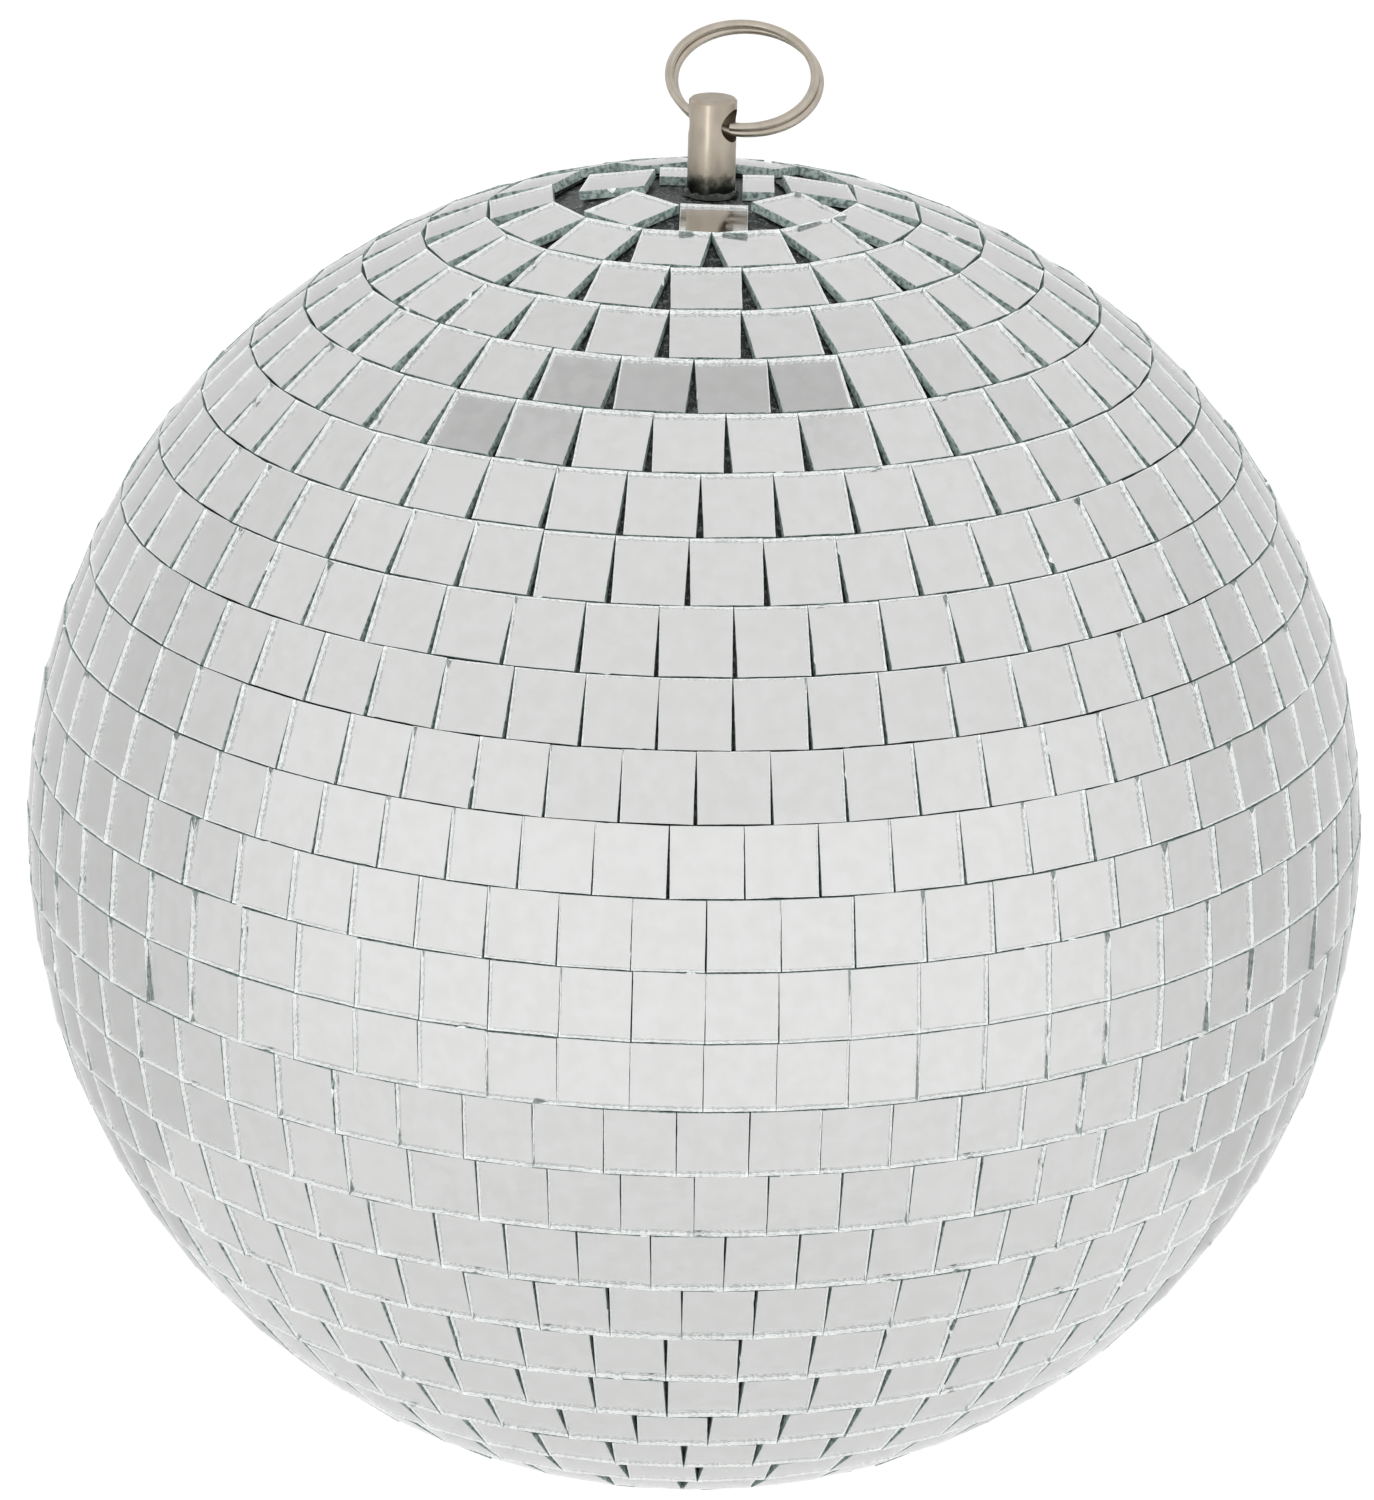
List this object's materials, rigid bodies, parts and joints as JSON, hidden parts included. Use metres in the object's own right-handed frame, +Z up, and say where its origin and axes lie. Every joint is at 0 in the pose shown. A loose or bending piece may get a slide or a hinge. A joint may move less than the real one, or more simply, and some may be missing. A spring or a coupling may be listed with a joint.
{
  "type": "mirror ball",
  "caption": "Hanging ball covered in rows of square mirror tiles on a hollow two-part core, with a steel pin at its top whose cross hole carries a split ring.",
  "frame": {"origin": "centre of the cross hole in the hanging pin, which the split ring goes through and the ball hangs from; the ball's centre is 108.2 mm below it", "axes": "+Z up along the pin, -Y towards the front of the ball, +X to the right seen from the front"},
  "size_m": [0.1999, 0.1999, 0.2197],
  "materials": {
    "mirror_glass": "silvered clear glass with snapped white edges",
    "black_plastic": "moulded, dull",
    "nickel_steel": "nickel plated, satin",
    "zinc_steel": "zinc plated",
    "black_sealant": "set glue, slightly shiny"
  },
  "bodies": {
    "ball": {"mirror_row_01": "mirror_glass", "mirror_row_02": "mirror_glass", "mirror_row_03": "mirror_glass", "mirror_row_04": "mirror_glass", "mirror_row_05": "mirror_glass", "mirror_row_06": "mirror_glass", "mirror_row_07": "mirror_glass", "mirror_row_08": "mirror_glass", "mirror_row_09": "mirror_glass", "mirror_row_10": "mirror_glass", "mirror_row_11": "mirror_glass", "mirror_row_12": "mirror_glass", "mirror_row_13": "mirror_glass", "mirror_row_14": "mirror_glass", "mirror_row_15": "mirror_glass", "mirror_row_16": "mirror_glass", "mirror_row_17": "mirror_glass", "mirror_row_18": "mirror_glass", "mirror_row_19": "mirror_glass", "mirror_row_20": "mirror_glass", "mirror_row_21": "mirror_glass", "mirror_row_22": "mirror_glass", "mirror_row_23": "mirror_glass", "mirror_row_24": "mirror_glass", "mirror_row_25": "mirror_glass", "mirror_row_26": "mirror_glass", "mirror_row_27": "mirror_glass", "mirror_row_28": "mirror_glass", "mirror_row_29": "mirror_glass", "bottom_tile": "mirror_glass", "filler_tile_right": "mirror_glass", "filler_tile_back": "mirror_glass", "upper_half_shell": "black_plastic", "lower_half_shell": "black_plastic", "hanging_pin": "nickel_steel", "pin_sealant": "black_sealant", "backing_washer": "zinc_steel", "lock_washer": "zinc_steel", "hex_nut": "zinc_steel"},
    "ring": {"split_ring": "nickel_steel"}
  },
  "joints": [
    {"name": "ring_swing", "type": "hinge", "parent": "ball", "child": "ring", "pos_m": [0, 0, 0], "axis": [0.9026, -0.4305, 0], "range_deg": [-47, 170]}
  ]
}
